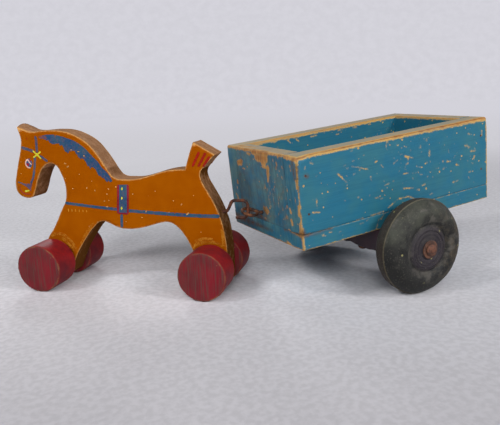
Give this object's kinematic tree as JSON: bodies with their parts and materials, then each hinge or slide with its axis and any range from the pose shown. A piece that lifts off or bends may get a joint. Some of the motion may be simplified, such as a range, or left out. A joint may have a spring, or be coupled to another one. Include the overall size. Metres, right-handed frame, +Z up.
{
  "type": "toy horse and cart",
  "caption": "Wooden pull toy: a flat sawn horse on wooden wheels, hooked to an open box cart on an axle with rubber wheels.",
  "frame": {"origin": "on the ground under the middle of the bounding box, with the toy at rest as in the picture", "axes": "+X the cart's direction of travel, +Y its left side, +Z up; the horse heads 41.4 degrees to the right of +X"},
  "size_m": [0.3546, 0.2396, 0.1322],
  "materials": {
    "orange_paint": "worn orange paint on wood",
    "maroon_paint": "worn red-brown paint on turned wood",
    "blue_paint": "worn blue paint on wood",
    "dark_block": "dark maroon stained wood",
    "dowel_wood": "bare dowel",
    "rubber": "aged moulded rubber",
    "rusty_steel": "rusty",
    "steel": "dull steel rod"
  },
  "bodies": {
    "cart": {"cart_floor": "blue_paint", "cart_side_left": "blue_paint", "cart_side_right": "blue_paint", "cart_front_board": "blue_paint", "cart_back_board": "blue_paint", "cart_axle_block": "dark_block", "cart_axle": "steel", "hitch_eye": "rusty_steel", "inner_washer_left": "rusty_steel", "inner_washer_right": "rusty_steel", "outer_washer_left": "rusty_steel", "outer_washer_right": "rusty_steel", "axle_cap_left": "rusty_steel", "axle_cap_right": "rusty_steel", "nail_front_left_lower": "rusty_steel", "nail_front_left_upper": "rusty_steel", "nail_front_right_lower": "rusty_steel", "nail_front_right_upper": "rusty_steel", "nail_back_left_lower": "rusty_steel", "nail_back_left_upper": "rusty_steel", "nail_back_right_lower": "rusty_steel", "nail_back_right_upper": "rusty_steel", "floor_nail_front_left_side": "rusty_steel", "floor_nail_front_right_side": "rusty_steel", "floor_nail_back_left_side": "rusty_steel", "floor_nail_back_right_side": "rusty_steel", "floor_nail_front_left_end": "rusty_steel", "floor_nail_front_right_end": "rusty_steel", "floor_nail_back_left_end": "rusty_steel", "floor_nail_back_right_end": "rusty_steel", "block_screw_fore_left": "rusty_steel", "block_screw_fore_right": "rusty_steel", "block_screw_aft_left": "rusty_steel", "block_screw_aft_right": "rusty_steel"},
    "cart_left_wheel": {"cart_wheel_left": "rubber"},
    "cart_right_wheel": {"cart_wheel_right": "rubber"},
    "horse": {"horse_body": "orange_paint", "horse_hook": "rusty_steel"},
    "horse_front_wheelset": {"horse_front_axle": "dowel_wood", "horse_wheel_front_left": "maroon_paint", "horse_wheel_front_right": "maroon_paint"},
    "horse_rear_wheelset": {"horse_rear_axle": "dowel_wood", "horse_wheel_rear_left": "maroon_paint", "horse_wheel_rear_right": "maroon_paint"}
  },
  "joints": [
    {"name": "hitch_turn", "type": "hinge", "parent": "cart", "child": "horse", "pos_m": [0.01602, 0.02845, 0.0618], "axis": [0, 0, 1], "range_deg": [-38.6, 121.4]},
    {"name": "cart_left_wheel_roll", "type": "hinge", "parent": "cart", "child": "cart_left_wheel", "pos_m": [-0.08613, 0.10386, 0.036], "axis": [0, 1, 0], "continuous": true},
    {"name": "cart_right_wheel_roll", "type": "hinge", "parent": "cart", "child": "cart_right_wheel", "pos_m": [-0.08613, -0.03814, 0.036], "axis": [0, 1, 0], "continuous": true},
    {"name": "horse_front_wheels_roll", "type": "hinge", "parent": "horse", "child": "horse_front_wheelset", "pos_m": [0.13978, -0.08066, 0.019], "axis": [0.6613, 0.7501, 0], "continuous": true},
    {"name": "horse_rear_wheels_roll", "type": "hinge", "parent": "horse", "child": "horse_rear_wheelset", "pos_m": [0.03702, 0.00994, 0.019], "axis": [0.6613, 0.7501, 0], "continuous": true}
  ]
}
